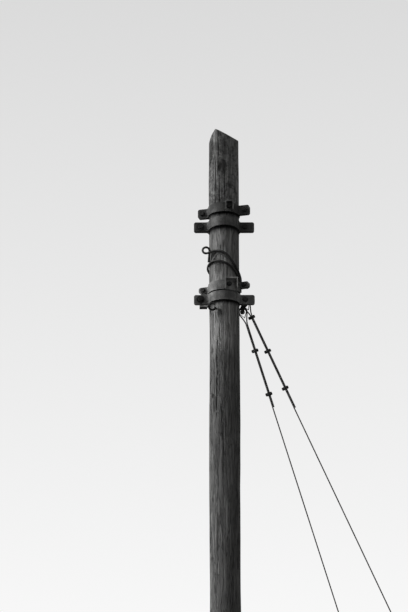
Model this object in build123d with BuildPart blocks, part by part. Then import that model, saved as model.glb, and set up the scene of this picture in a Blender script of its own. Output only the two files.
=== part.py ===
from build123d import *
import math
import os

# Wooden utility pole with two levels of steel collars and two guys down to ground anchors.
# Millimetres. +Z up, the origin is the centre of the shaft at ground level, -Y is the front.

os.makedirs("parts", exist_ok=True)

# Shaft
pole_height = 8900.0
base_radius = 91.5
top_radius = 86.0
ridge_turn = 28.0
ridge_shift = -10.0
right_slope = 30.0
left_slope = 47.0

# Collars: a small and a main one at each level
bar_thickness = 6.0
left_bend = 18.0
right_bend = 7.0
corner_radius = 12.0
snug = 0.3
hair = 0.1
main_height = 55.0
main_reach = 175.0
main_gap = 12.0
left_bolt_x = -137.0
right_bolt_x = 121.0
small_height = 56.0
small_reach = 154.0
small_gap = 14.0
small_bolt_x = 128.0
upper_small_turn = -15.0
upper_main_tilt = 7.0
lower_small_turn = -22.0
lower_ear_height = 36.0

# Heights of the collars, each measured down from the tip of the shaft
upper_small_drop = 501.0
upper_main_drop = 597.0
lower_small_drop = 984.0
lower_main_drop = 1047.5
upper_small_z = pole_height - upper_small_drop
upper_main_z = pole_height - upper_main_drop
lower_small_z = pole_height - lower_small_drop
lower_main_z = pole_height - lower_main_drop

# Bolts
shank_radius = 8.0
hole_play = 0.5
hex_flat = 24.0
head_height = 10.0
nut_height = 13.0
thread_past = 12.0
washer_thickness = 4.0
big_washer = 23.0
plain_washer = 16.0
guy_room = 50.0

# Box brackets on the small collars, each held by a screw into the wood
box_depth = 32.0
box_plate = 6.0
upper_box_x = 31.0
upper_box_width = 48.0
upper_box_height = 58.0
lower_box_x = 40.0
lower_box_width = 74.0
lower_box_height = 66.0
screw_x = 28.0
screw_radius = 6.0
screw_depth = 90.0
screw_flat = 19.0
screw_head = 8.0
screw_washer = 14.0
screw_washer_thickness = 3.0
pilot_play = 2.0

# Strand wrapped round the shaft: angles round it, and how far below the shaft's tip it passes there
wrap_radius = 6.4
wrap_play = 2.4
wrap_stops = (
    (229, 770), (245, 775), (260, 781), (275, 792), (288, 817), (302, 846), (317, 872), (338, 909),
    (364, 930), (390, 932), (418, 922), (446, 906), (474, 888), (502, 872), (528, 858),
    (548, 850), (564, 840), (584, 834), (604, 837), (622, 843), (640, 857), (658, 877), (676, 903), (698, 930),
)
wrap_bend = 60.0
join_bend = 22.0
wrap_rest = (-28.0, 8.0)
rest_bend = 12.0
eye_ring_radius = 21.0
eye_ring_x = -103.5
eye_ring_drop = 764.0
eye_ring_front = -54.0
eye_ring_rear = -70.0
eye_corners = (30, 90, 150, 210, 270)
corner_step = 60.0
tail_bend = 30.0
tail_stops = ((-90.0, -36.0, 828.0), (-88.0, -45.0, 800.0))

# Thin guard strip bent over the wood between the turns of the strand
guard_thickness = 1.6
guard_width = 8.0
guard_stops = ((-83, 828), (-64, 812), (-46, 790), (-20, 788), (8, 816))
guard_bend = 14.0
guard_low_drop = 900.0
guard_high_drop = 700.0

# Pigtail hook, and the sleeve its curl holds
hook_wire = 6.0
hook_below_collar = 49.0
hook_x = -53.5
hook_curl = 18.0
hook_corners = (-30, -90, -150, -210, -270, -330)
hook_advance = 2.7
hook_first_bend = 9.0
hook_side_step = 2.5
hook_stand = 24.0
hook_depth = 60.0
sleeve_length = 44.0
sleeve_height = 31.0
sleeve_thickness = 16.0
sleeve_round = 6.0
sleeve_groove = 3.0
lug_thickness = 6.0
lug_radius = 13.0
lug_neck = 4.0
lug_hole = 9.0
lug_play = 0.55

# Guys
strand_radius = 3.5
guy_lead = 0.68
guy_a_turn = 32.5
guy_b_turn = 49.3
guy_a_stand = 74.0
guy_b_stand = 49.0
eye_radius = 25.0
eye_drop = 62.0
thimble_tip = 38.5
leg_bend = 60.0
leg_gap = 0.4
thimble_wall = 3.0
thimble_width = 11.0
clips_a = (240.0, 508.0)
clips_b = (84.0, 301.0, 538.0)
tail_a = 588.0
tail_b = 664.0
low_clips = (110.0, 200.0, 290.0)
low_tail = 360.0
rod_radius = 8.0
rod_length = 420.0
rod_eye_hole = 17.0
rod_eye_wall = 11.0
rod_eye_width = 18.0
rod_below = 40.0
rod_shoulder = 13.0
rod_shoulder_end = 34.0

# Plate hung on the lower collar's right bolt, with the pin that carries guy A
plate_thickness = 6.0
plate_top_radius = 16.0
pin_x = 105.0
pin_drop = 40.0
pin_flange = 14.0
pin_flange_thickness = 4.0
pin_spare = 14.5

# Wire clips on the guys
clip_wire = 4.0
clip_play = 0.4
clip_base_width = 18.0
clip_base_height = 13.0
clip_nut_flat = 13.0
clip_nut_height = 8.0
clip_thread = 6.0
clip_bend = 7.0
clip_base_edge = 8.0
clip_base_round = 5.0


def pole_radius(z):
    """Radius of the shaft at a height above ground."""
    return base_radius - (base_radius - top_radius) * z / pole_height


def level_plane(z, turn=0.0):
    """Level plane at height z, turned about the shaft."""
    angle = math.radians(turn)
    return Plane(origin=(0, 0, z), x_dir=(math.cos(angle), math.sin(angle), 0), z_dir=(0, 0, 1))


def across_plane(z, turn, x, y):
    """Plane whose z axis runs from front to back, at x and y of the turned level plane."""
    level = level_plane(z, turn)
    return Plane(origin=level.from_local_coords((x, y, 0)), x_dir=level.x_dir, z_dir=level.y_dir)


def collar_outer(z, height):
    """Outside radius of a collar's bar round the shaft."""
    return pole_radius(z - height) + snug + bar_thickness


def collar_half(z, height, reach, gap, holes, turn=0.0, tilt=0.0, ear_height=0.0, back=False):
    """Half a collar: a flat bar bent round the shaft, with a straight ear at each end."""
    outer = collar_outer(z, height)
    face = gap / 2 + bar_thickness
    bend_x = math.sqrt(outer ** 2 - face ** 2)
    tall = 2 * height
    with BuildSketch(level_plane(z - tall / 2, turn + (180.0 if back else 0.0))) as plan:
        Circle(outer)
        with Locations((0, -face + bar_thickness / 2)):
            Rectangle(2 * reach, bar_thickness)
        with Locations((0, outer - gap / 2)):
            Rectangle(2 * reach, 2 * outer, mode=Mode.SUBTRACT)
        Circle(outer - bar_thickness, mode=Mode.SUBTRACT)
        for side, radius in ((-1, left_bend), (1, right_bend)):
            corner_x = -side * bend_x if back else side * bend_x
            fillet(plan.vertices().filter_by(lambda v: abs(v.X - corner_x) < hair), radius)
    extrude(plan.sketch, amount=tall)
    level = level_plane(z, turn)
    lean = math.radians(tilt)
    through = level.y_dir * math.cos(lean) - level.z_dir * math.sin(lean)
    face_plane = Plane(origin=level.origin - through * 2 * outer, x_dir=level.x_dir, z_dir=through)
    ear_height = ear_height or height
    ear_rise = (height - ear_height) / 2
    with BuildSketch(face_plane) as outline:
        Rectangle(2 * (outer + left_bend / 2), height)
        with Locations((0, -ear_rise)):
            RectangleRounded(2 * reach, ear_height, corner_radius)
    extrude(outline.sketch, amount=4 * outer, mode=Mode.INTERSECT)
    for x in holes:
        with BuildSketch(across_plane(z + ear_rise, turn, x, -outer)) as hole:
            Circle(shank_radius + hole_play)
        extrude(hole.sketch, amount=2 * outer, mode=Mode.SUBTRACT)


def screw_seat(outer):
    """How far before the shaft's axis the bracket screw's washer sits on the bracket's saddle."""
    return math.sqrt((outer + snug + box_plate) ** 2 - (screw_x - screw_washer) ** 2)


def front_screw_hole(z, outer):
    """Hole for the bracket's screw, through what stands before the shaft's axis."""
    with BuildSketch(across_plane(z, 0.0, screw_x, -outer - box_depth)) as hole:
        Circle(screw_radius + hole_play)
    extrude(hole.sketch, amount=box_depth + outer / 2, mode=Mode.SUBTRACT)


def ear_bolt(z, turn, x, gap, washer, room=0.0):
    """Bolt from front to back through both ears, with room for what hangs behind them."""
    grip = gap + 2 * bar_thickness
    front = across_plane(z, turn, x, -grip / 2)
    with BuildSketch(front) as shank:
        Circle(shank_radius)
    extrude(shank.sketch, amount=grip + room + washer_thickness + nut_height + thread_past)
    with BuildSketch(front) as disc:
        Circle(washer)
    extrude(disc.sketch, amount=-washer_thickness)
    with BuildSketch(front.offset(-washer_thickness)) as head:
        RegularPolygon(hex_flat / 2, 6, major_radius=False)
    extrude(head.sketch, amount=-head_height)
    for stop in sorted({grip, grip + room}):
        with BuildSketch(front.offset(stop)) as rear:
            Circle(plain_washer)
        extrude(rear.sketch, amount=washer_thickness)
        with BuildSketch(front.offset(stop + washer_thickness)) as nut:
            RegularPolygon(hex_flat / 2, 6, major_radius=False)
        extrude(nut.sketch, amount=nut_height)


def box_bracket(z, x, width, height, outer):
    """Bracket open to the front and below, welded from plate, on a small collar's front."""
    front = -outer - box_depth
    rear = -math.sqrt(outer ** 2 - (x + width / 2) ** 2)
    with BuildSketch(level_plane(z - height / 2)) as block:
        with Locations((x, (front + rear) / 2)):
            Rectangle(width, rear - front)
        Circle(outer + snug, mode=Mode.SUBTRACT)
    extrude(block.sketch, amount=height)
    with BuildSketch(level_plane(z - height / 2)) as inside:
        with Locations((x, front / 2)):
            Rectangle(width - 2 * box_plate, -front)
        Circle(outer + snug + box_plate, mode=Mode.SUBTRACT)
    extrude(inside.sketch, amount=height - box_plate, mode=Mode.SUBTRACT)
    front_screw_hole(z, outer)


def bracket_screw(z, outer):
    """Screw with a washer through bracket and collar into the wood."""
    seat = across_plane(z, 0.0, screw_x, -screw_seat(outer))
    with BuildSketch(seat) as shank:
        Circle(screw_radius)
    extrude(shank.sketch, amount=screw_depth)
    with BuildSketch(seat) as disc:
        Circle(screw_washer)
    extrude(disc.sketch, amount=-screw_washer_thickness)
    with BuildSketch(seat.offset(-screw_washer_thickness)) as head:
        RegularPolygon(screw_flat / 2, 6, major_radius=False)
    extrude(head.sketch, amount=-screw_head)


def guy_axes(turn):
    """Directions of a guy: down along it, square to it near the bolt's line, and across."""
    angle = math.radians(turn)
    down = Vector(math.sin(angle) * guy_lead, math.cos(angle) * guy_lead, -1).normalized()
    normal = (Vector(0, 1, 0) - down * down.Y).normalized()
    return down, normal, normal.cross(down)


def loop_points(tail, sign):
    """Points of a strand's loop in its own plane, from the tail's end to the long leg."""
    half = strand_radius + leg_gap / 2
    reach = math.hypot(eye_drop, half)
    start = math.atan2(half, eye_drop) + math.acos(eye_radius / reach)
    step = 2 * (math.pi - start) / 3
    corners = [start + step * (i + 0.5) for i in range(3)]
    far = eye_radius / math.cos(step / 2)
    points = [(tail, -half), (eye_drop, -half)]
    points += [(far * math.cos(a), -far * math.sin(a)) for a in corners]
    points += [(eye_drop, half)]
    return [(u, v * sign) for u, v in points]


def guy_frames(turn, x, stand, z):
    """Planes of the upper and the lower loop and of the anchor rod's eye."""
    down, normal, across = guy_axes(turn)
    inner = eye_radius - strand_radius - snug - thimble_wall
    skew = math.acos(normal.Y)
    rest = inner - shank_radius / math.cos(skew) - thimble_width / 2 * math.tan(skew) - snug
    top = Vector(x, stand, z) + down * rest
    top_plane = Plane(origin=top, x_dir=down, z_dir=normal)
    hole_side = math.sqrt(rod_eye_hole ** 2 - (thimble_width / 2) ** 2)
    bow_side = math.sqrt(inner ** 2 - (rod_eye_width / 2) ** 2)
    link = hole_side + bow_side - snug
    half = strand_radius + leg_gap / 2
    shift = across * half + normal * half
    foot_z = rod_length * -down.Z
    length = (top.Z + shift.Z - foot_z) / -down.Z - link
    low = top + shift + down * length
    low_plane = Plane(origin=low, x_dir=down * -1, z_dir=across)
    rod_plane = Plane(origin=low + down * link, x_dir=down, z_dir=normal)
    return top_plane, low_plane, rod_plane


def guy_strand(turn, x, stand, z, tail):
    """Whole strand of a guy, with a loop at each end."""
    top_plane, low_plane, rod_plane = guy_frames(turn, x, stand, z)
    upper = [top_plane.from_local_coords((u, v, 0)) for u, v in loop_points(tail, 1)]
    lower = [low_plane.from_local_coords((u, v, 0)) for u, v in loop_points(low_tail, 1)]
    route = upper + lower[::-1]
    bends = [leg_bend] + [eye_radius - hair] * 3 + [leg_bend]
    with BuildLine() as path:
        FilletPolyline(*route, radius=bends + bends)
    start = Plane(origin=route[0], z_dir=route[1] - route[0])
    with BuildSketch(start) as section:
        Circle(strand_radius)
    sweep(section.sketch, path=path.wire())


def thimble(plane):
    """Teardrop liner inside a strand's loop."""
    outer = eye_radius - strand_radius - snug
    angle = math.acos(outer / thimble_tip)
    touch = (outer * math.cos(angle), outer * math.sin(angle))
    with BuildSketch(plane.offset(-thimble_width / 2)) as outline:
        Circle(outer)
        with BuildLine():
            Polyline((thimble_tip, 0), touch, (0, 0), (touch[0], -touch[1]), close=True)
        make_face()
        offset(amount=-thimble_wall, mode=Mode.SUBTRACT)
    extrude(outline.sketch, amount=thimble_width)


def wire_clip():
    """Wire clip over both legs of a strand that run along X: saddle block, bow and two nuts."""
    leg = 2 * strand_radius + leg_gap / 2 + clip_play + clip_wire
    under = strand_radius + clip_play
    low = -under - clip_wire
    top = under + clip_base_height + clip_nut_height + clip_thread
    with BuildSketch(Plane.XY.offset(under)) as base:
        RectangleRounded(clip_base_width, 2 * (leg + clip_wire) + clip_base_edge, clip_base_round)
    extrude(base.sketch, amount=clip_base_height)
    with BuildLine(Plane.YZ) as path:
        FilletPolyline((-leg, top), (-leg, low), (leg, low), (leg, top), radius=clip_bend)
    with BuildSketch(Plane(origin=(0, -leg, top), z_dir=(0, 0, -1))) as wire:
        Circle(clip_wire)
    sweep(wire.sketch, path=path.wire())
    with BuildSketch(Plane.XY.offset(under + clip_base_height)) as nuts:
        with Locations((0, -leg), (0, leg)):
            RegularPolygon(clip_nut_flat / 2, 6, major_radius=False)
    extrude(nuts.sketch, amount=clip_nut_height)


def anchor_rod(plane):
    """Rod out of the ground, flattened and bored to an eye at its top."""
    with BuildSketch(plane.offset(-rod_eye_width / 2)) as eye:
        Circle(rod_eye_hole + rod_eye_wall)
    extrude(eye.sketch, amount=rod_eye_width)
    with BuildSketch(Plane(origin=plane.origin, z_dir=plane.x_dir)) as shoulder:
        Circle(rod_shoulder)
    extrude(shoulder.sketch, amount=rod_shoulder_end)
    with BuildSketch(Plane(origin=plane.origin, z_dir=plane.x_dir)) as rod:
        Circle(rod_radius)
    extrude(rod.sketch, amount=rod_length + rod_below)
    with BuildSketch(plane.offset(-rod_eye_width)) as hole:
        Circle(rod_eye_hole)
    extrude(hole.sketch, amount=2 * rod_eye_width, mode=Mode.SUBTRACT)
    split(bisect_by=Plane.XY, keep=Keep.TOP)


# Shaft: a tapered log whose top is cut to a ridge
with BuildPart() as pole_shaft:
    with BuildSketch(Plane.XZ) as half_section:
        with BuildLine():
            Polyline((0, 0), (base_radius, 0), (top_radius, pole_height), (0, pole_height), close=True)
        make_face()
    revolve(axis=Axis.Z)
    ridge_plane = level_plane(pole_height, 90.0 - ridge_turn)
    fall = ridge_plane.y_dir * -1
    crown = Vector(0, 0, pole_height) + fall * ridge_shift
    for side, slope in ((1, right_slope), (-1, left_slope)):
        tip = fall * (side * math.sin(math.radians(slope)))
        split(bisect_by=Plane(origin=crown, z_dir=(tip.X, tip.Y, math.cos(math.radians(slope)))),
              keep=Keep.BOTTOM)
    for spot_z in (upper_small_z, lower_small_z):
        seat_y = -screw_seat(collar_outer(spot_z, small_height))
        with BuildSketch(across_plane(spot_z, 0.0, screw_x, seat_y)) as pilot:
            Circle(screw_radius + hole_play)
        extrude(pilot.sketch, amount=screw_depth + pilot_play, mode=Mode.SUBTRACT)
    hook_z = lower_main_z - main_height / 2 - hook_below_collar
    hook_y = -math.sqrt(pole_radius(hook_z) ** 2 - hook_x ** 2)
    with BuildSketch(Plane(origin=(hook_x, -base_radius, hook_z), z_dir=(0, 1, 0))) as hook_bore:
        Circle(hook_wire + hole_play)
    extrude(hook_bore.sketch, amount=base_radius + hook_y + hook_depth, mode=Mode.SUBTRACT)
pole_shaft.part.label = "pole_shaft"
export_step(pole_shaft.part, "parts/pole_shaft.step")

# Collars, their bolts, brackets and screws
levels = {
    "upper": (upper_small_z, upper_small_turn, upper_box_x, upper_box_width, upper_box_height,
              upper_main_z, upper_main_tilt, 0.0),
    "lower": (lower_small_z, lower_small_turn, lower_box_x, lower_box_width, lower_box_height,
              lower_main_z, 0.0, guy_room),
}
for level, (small_z, turn, box_x, box_width, box_height, main_z, tilt, room) in levels.items():
    small_outer = collar_outer(small_z, small_height)
    ear_height = small_height if level == "upper" else lower_ear_height
    ear_z = small_z + (small_height - ear_height) / 2
    small_holes = (-small_bolt_x, small_bolt_x)
    main_holes = (left_bolt_x, right_bolt_x)
    with BuildPart() as small_front:
        collar_half(small_z, small_height, small_reach, small_gap, small_holes, turn, ear_height=ear_height)
        front_screw_hole(small_z, small_outer)
    with BuildPart() as small_back:
        collar_half(small_z, small_height, small_reach, small_gap, small_holes, turn,
                    ear_height=ear_height, back=True)
    with BuildPart() as small_left:
        ear_bolt(ear_z, turn, -small_bolt_x, small_gap, plain_washer)
    with BuildPart() as small_right:
        ear_bolt(ear_z, turn, small_bolt_x, small_gap, plain_washer)
    with BuildPart() as box:
        box_bracket(small_z, box_x, box_width, box_height, small_outer)
    with BuildPart() as screw:
        bracket_screw(small_z, small_outer)
    with BuildPart() as main_front:
        collar_half(main_z, main_height, main_reach, main_gap, main_holes, tilt=tilt)
    with BuildPart() as main_back:
        collar_half(main_z, main_height, main_reach, main_gap, main_holes, tilt=tilt, back=True)
    with BuildPart() as main_left:
        ear_bolt(main_z, 0.0, left_bolt_x, main_gap, big_washer)
    with BuildPart() as main_right:
        ear_bolt(main_z, 0.0, right_bolt_x, main_gap, plain_washer, room)
    pieces = {
        "small_collar_front": small_front, "small_collar_back": small_back,
        "small_collar_left_bolt": small_left, "small_collar_right_bolt": small_right,
        "box_bracket": box, "bracket_screw": screw,
        "main_collar_front": main_front, "main_collar_back": main_back,
        "main_collar_left_bolt": main_left, "main_collar_right_bolt": main_right,
    }
    for name, piece in pieces.items():
        piece.part.label = f"{level}_{name}"
        export_step(piece.part, f"parts/{level}_{name}.step")

# Wrapped strand: its tail, an eye, one turn and a half round the shaft, and its end at a bolt
with BuildPart() as wrap_strand:
    tail = [(x, y, pole_height - drop) for x, y, drop in tail_stops]
    corner = eye_ring_radius / math.cos(math.radians(corner_step / 2))
    ring = [
        (eye_ring_x + corner * math.cos(math.radians(a)),
         eye_ring_front + (eye_ring_rear - eye_ring_front) * i / (len(eye_corners) - 1),
         pole_height - eye_ring_drop + corner * math.sin(math.radians(a)))
        for i, a in enumerate(eye_corners)
    ]
    hug = []
    for i, (angle, drop) in enumerate(wrap_stops):
        around = math.radians(angle)
        z = pole_height - drop
        span = wrap_stops[min(i + 1, len(wrap_stops) - 1)][0] - wrap_stops[max(i - 1, 0)][0]
        radius = (pole_radius(z) + wrap_radius + wrap_play) / math.cos(math.radians(span / 4))
        hug.append((radius * math.cos(around), radius * math.sin(around), z))
    bolt_z = lower_small_z + (small_height - lower_ear_height) / 2
    bolt_level = level_plane(bolt_z + shank_radius + wrap_radius + snug, lower_small_turn)
    rest = [bolt_level.from_local_coords((small_bolt_x + x, 0, 0)) for x in wrap_rest]
    route = tail + ring + hug + rest
    bends = [tail_bend] + [eye_ring_radius - hair] * len(ring) + [join_bend] + [wrap_bend] * (len(hug) - 2)
    bends += [rest_bend, rest_bend]
    with BuildLine() as wrap_path:
        FilletPolyline(*route, radius=bends)
    with BuildSketch(Plane(origin=route[0], z_dir=Vector(*route[1]) - Vector(*route[0]))) as wrap_section:
        Circle(wrap_radius)
    sweep(wrap_section.sketch, path=wrap_path.wire())
wrap_strand.part.label = "wrap_strand"
export_step(wrap_strand.part, "parts/wrap_strand.step")

# Guard strip: a thin shell over the wood, cut to an arch
with BuildPart() as guard_strip:
    with BuildSketch(Plane.XZ) as arch:
        with BuildLine():
            FilletPolyline(*[(x, pole_height - drop) for x, drop in guard_stops], radius=guard_bend)
        trace(line_width=guard_width)
    extrude(arch.sketch, amount=base_radius + guard_thickness)
    guard_low = pole_height - guard_low_drop
    guard_high = pole_height - guard_high_drop
    with BuildSketch(Plane.XZ) as shell:
        with BuildLine():
            Polyline(
                (pole_radius(guard_low) + snug, guard_low),
                (pole_radius(guard_low) + snug + guard_thickness, guard_low),
                (pole_radius(guard_high) + snug + guard_thickness, guard_high),
                (pole_radius(guard_high) + snug, guard_high), close=True)
        make_face()
    revolve(shell.sketch, axis=Axis.Z, mode=Mode.INTERSECT)
guard_strip.part.label = "guard_strip"
export_step(guard_strip.part, "parts/guard_strip.step")

# Pigtail hook screwed into the wood, curled in front of it
with BuildPart() as pigtail_hook:
    out = hook_y - hook_stand
    start = (hook_x, hook_y + hook_depth, hook_z)
    corner = hook_curl / math.cos(math.radians(corner_step / 2))
    curl = [
        (hook_x - hook_curl + corner * math.cos(math.radians(a)),
         out - hook_advance * i,
         hook_z + corner * math.sin(math.radians(a)))
        for i, a in enumerate(hook_corners)
    ]
    first = (hook_x, out, hook_z)
    with BuildLine() as hook_path:
        FilletPolyline(start, first, *curl, radius=[hook_first_bend] + [hook_curl - hair] * (len(curl) - 1))
    with BuildSketch(Plane(origin=start, z_dir=(0, -1, 0))) as hook_section:
        Circle(hook_wire)
    sweep(hook_section.sketch, path=hook_path.wire())
pigtail_hook.part.label = "pigtail_hook"
export_step(pigtail_hook.part, "parts/pigtail_hook.step")

# Sleeve whose lug the hook's curl passes through
with BuildPart() as hook_sleeve:
    hold = Vector(hook_x - 2 * hook_curl, out - hook_side_step * hook_advance, hook_z)
    lug_at = hold - Vector(lug_hole - hook_wire - lug_play, 0, 0)
    body_end = lug_at.X - lug_hole - lug_neck + hook_wire
    with BuildSketch(Plane(origin=(body_end, lug_at.Y, lug_at.Z), x_dir=(0, 1, 0), z_dir=(-1, 0, 0))) as body:
        RectangleRounded(sleeve_thickness, sleeve_height, sleeve_round)
        with Locations((-sleeve_thickness / 2, 0), (sleeve_thickness / 2, 0)):
            Circle(sleeve_groove, mode=Mode.SUBTRACT)
    extrude(body.sketch, amount=sleeve_length)
    with BuildSketch(Plane(origin=(lug_at.X, lug_at.Y, lug_at.Z - lug_thickness / 2))) as lug:
        Circle(lug_radius)
        with Locations((-lug_radius, 0)):
            Rectangle(2 * lug_radius, sleeve_thickness)
    extrude(lug.sketch, amount=lug_thickness)
    with BuildSketch(Plane(origin=(lug_at.X, lug_at.Y, lug_at.Z - lug_thickness))) as bore:
        Circle(lug_hole)
    extrude(bore.sketch, amount=2 * lug_thickness, mode=Mode.SUBTRACT)
hook_sleeve.part.label = "hook_sleeve"
export_step(hook_sleeve.part, "parts/hook_sleeve.step")

# Plate on the lower collar's right bolt, with the pin that guy A hangs on
with BuildPart() as guy_plate:
    plate_y = main_gap / 2 + bar_thickness + washer_thickness + nut_height + snug
    pin_z = lower_main_z - pin_drop
    pin_end = guy_a_stand + pin_spare - plate_y
    with BuildSketch(Plane(origin=(0, plate_y, 0), x_dir=(1, 0, 0), z_dir=(0, -1, 0))) as plate:
        with Locations((right_bolt_x, lower_main_z)):
            Circle(plate_top_radius)
        with Locations((pin_x, pin_z)):
            Circle(pin_flange)
        make_hull()
        with Locations((right_bolt_x, lower_main_z)):
            Circle(shank_radius + hole_play, mode=Mode.SUBTRACT)
    extrude(plate.sketch, amount=-plate_thickness)
    with BuildSketch(across_plane(pin_z, 0.0, pin_x, plate_y)) as pin:
        Circle(shank_radius)
    extrude(pin.sketch, amount=pin_end + pin_flange_thickness)
    with BuildSketch(across_plane(pin_z, 0.0, pin_x, plate_y + pin_end)) as flange:
        Circle(pin_flange)
    extrude(flange.sketch, amount=pin_flange_thickness)
guy_plate.part.label = "guy_plate"
export_step(guy_plate.part, "parts/guy_plate.step")

# Guys: A from the plate's pin, B from the bolt, both down to the ground
with BuildPart() as clip:
    wire_clip()
for name, turn, hang_x, stand, hang_z, tail, spots in (
        ("guy_a", guy_a_turn, pin_x, guy_a_stand, lower_main_z - pin_drop, tail_a, clips_a),
        ("guy_b", guy_b_turn, right_bolt_x, guy_b_stand, lower_main_z, tail_b, clips_b)):
    top_plane, low_plane, rod_plane = guy_frames(turn, hang_x, stand, hang_z)
    with BuildPart() as strand:
        guy_strand(turn, hang_x, stand, hang_z, tail)
    with BuildPart() as upper_thimble:
        thimble(top_plane)
    with BuildPart() as lower_thimble:
        thimble(low_plane)
    with BuildPart() as upper_clips:
        with Locations([top_plane.location * Location((spot, 0, 0)) for spot in spots]):
            add(clip.part)
    with BuildPart() as lower_clips:
        with Locations([low_plane.location * Location((spot, 0, 0)) for spot in low_clips]):
            add(clip.part)
    with BuildPart() as rod:
        anchor_rod(rod_plane)
    pieces = {
        "strand": strand, "upper_thimble": upper_thimble, "lower_thimble": lower_thimble,
        "upper_clips": upper_clips, "lower_clips": lower_clips, "anchor_rod": rod,
    }
    for part_name, piece in pieces.items():
        piece.part.label = f"{name}_{part_name}"
        export_step(piece.part, f"parts/{name}_{part_name}.step")
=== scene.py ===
import bpy
import math
import random
from mathutils import Matrix, Vector


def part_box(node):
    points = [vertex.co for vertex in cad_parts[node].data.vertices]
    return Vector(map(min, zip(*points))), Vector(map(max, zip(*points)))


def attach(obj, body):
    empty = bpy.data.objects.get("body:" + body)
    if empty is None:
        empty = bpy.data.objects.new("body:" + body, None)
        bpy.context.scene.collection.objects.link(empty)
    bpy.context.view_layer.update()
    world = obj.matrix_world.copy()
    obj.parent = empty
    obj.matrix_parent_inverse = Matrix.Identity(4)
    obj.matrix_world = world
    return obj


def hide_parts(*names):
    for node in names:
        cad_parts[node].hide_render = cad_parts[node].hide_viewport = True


# Wooden utility pole with two levels of steel collars and two guys. Metres, +Z up, the front is -Y.

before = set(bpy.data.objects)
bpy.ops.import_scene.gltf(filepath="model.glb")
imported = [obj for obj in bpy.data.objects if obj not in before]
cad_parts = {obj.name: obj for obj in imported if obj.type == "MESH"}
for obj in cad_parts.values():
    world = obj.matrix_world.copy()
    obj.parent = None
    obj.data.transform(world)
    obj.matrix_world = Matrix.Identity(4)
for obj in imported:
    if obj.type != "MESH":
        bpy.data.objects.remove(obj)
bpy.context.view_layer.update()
random.seed(7)

# Shaft
POLE_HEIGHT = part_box("pole_shaft")[1][2]
BASE_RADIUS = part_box("pole_shaft")[1][0]
TOP_RADIUS = 0.086
RIDGE_TURN = 28.0
RIDGE_SHIFT = -0.010
RIGHT_SLOPE = 30.0
LEFT_SLOPE = 47.0
SHAFT_SIDES = 220
COARSE_STEP = 0.15
FINE_STEP = 0.02
FINE_FROM = 5.85
LEVEL_GAP = 0.003
SMOOTH_BELOW = 35.0

# Splits in the wood: degrees round the shaft from +X, low end, high end, depth
TOLD_SPLITS = (
    (246, 8.62, 8.90, 0.0060), (274, 8.44, 8.66, 0.0055), (252, 8.40, 8.58, 0.0042),
    (268, 7.96, 8.20, 0.0055), (236, 7.10, 7.62, 0.0055), (262, 6.70, 7.20, 0.0055),
)
LOOSE_SPLITS = 150
SPLIT_LENGTHS = (0.08, 0.7)
SPLIT_DEPTHS = (0.0012, 0.0052)
DRIFT_CHANCE = 0.12
SPLIT_TAPER = 6.0
SPLIT_START = 0.2
SPLIT_SKIN = 0.97
SPLIT_ROOM = 0.3

# Slow swells of the log, held back under the wrapped strand
SWELL_SIZE = 0.12
SWELL_STRETCH = 5.0
SWELL_DEPTH = 0.0125
SWELL_REST = 0.56
SWELL_HELD = 0.37
HELD_HEIGHT = POLE_HEIGHT - 0.84
HELD_HALF = 0.14
HELD_EASE = 0.06

# Knots: degrees round the shaft from +X, height, radius
KNOTS = (
    (213, 7.529, 0.015), (214, 7.255, 0.012), (255, 8.655, 0.016), (40, 6.62, 0.013),
    (20, 7.70, 0.014), (64, 6.30, 0.016), (118, 7.95, 0.013), (150, 5.10, 0.017),
    (332, 4.40, 0.016), (190, 3.60, 0.015), (262, 2.70, 0.016), (85, 2.10, 0.017),
)
KNOT_RINGS = (-1.6, -1.2, -0.8, -0.4, 0.0, 0.4, 0.8, 1.2, 1.6)
KNOT_SINK = 0.0022
KNOT_HEART_WIDTH = 0.7
KNOT_LIP = 0.0012
KNOT_LIP_PLACE = 1.1
KNOT_LIP_WIDTH = 0.35
KNOT_SQUASH = 0.6
KNOT_REACH = 2.0
KNOT_SPAN = 2.5
KNOT_SKIN = 0.9

# Dark smudges, some of them painted shade: degrees round the shaft from +X, height, radius, weight
# The patch at 226 degrees and 8.098 m is painted shade under the wrapped strand's eye, the one at 245 degrees
# and 8.030 m is painted shadow under the strand's lower turn, and the one at 251 degrees and 7.745 m darkens
# the wood beside the hook
SMUDGES_AND_SHADE = (
    (226, 8.098, 0.030, 0.75), (251, 7.745, 0.018, 0.60), (262, 8.655, 0.040, 0.75), (240, 8.79, 0.022, 0.45),
    (268, 8.42, 0.030, 0.35), (300, 8.56, 0.028, 0.30), (204, 8.79, 0.042, 0.60), (203, 8.72, 0.036, 0.50),
    (245, 8.030, 0.034, 0.42),
)

# Greys of the wood, and how much blue every grey has
BLUE_SHARE = 0.985
WOOD_GREYS = {
    "fibre": 0.116, "silver": 0.188, "hollow": 0.062, "bleached": 0.25, "hairline": 0.088, "stained": 0.081,
    "crack": 0.019, "deep_crack": 0.013, "side_shade": 0.069, "lifted": 0.263, "blot": 0.053, "crumb": 0.031,
    "fleck": 0.312, "tip": 0.062, "strip": 0.237, "run": 0.031, "grime": 0.007, "smudge_and_shade": 0.022,
    "knot_heart": 0.028, "knot_rim": 0.206, "worn_corner": 0.281, "end_dark": 0.037, "end_pale": 0.094,
    "end_stain": 0.022,
}

# Stretches of the wood that differ: heights, or distances to the right, between which each one sets in
TOP_SETS_IN = (8.28, 8.50)
TIP_SETS_IN = (8.62, 8.84)
CORNERS_SET_IN = (8.78, 8.84)
# Painted shade: the right side, away from the lamp, darkens from this distance on
SIDE_SHADE_SETS_IN = (0.020, 0.052)
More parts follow.
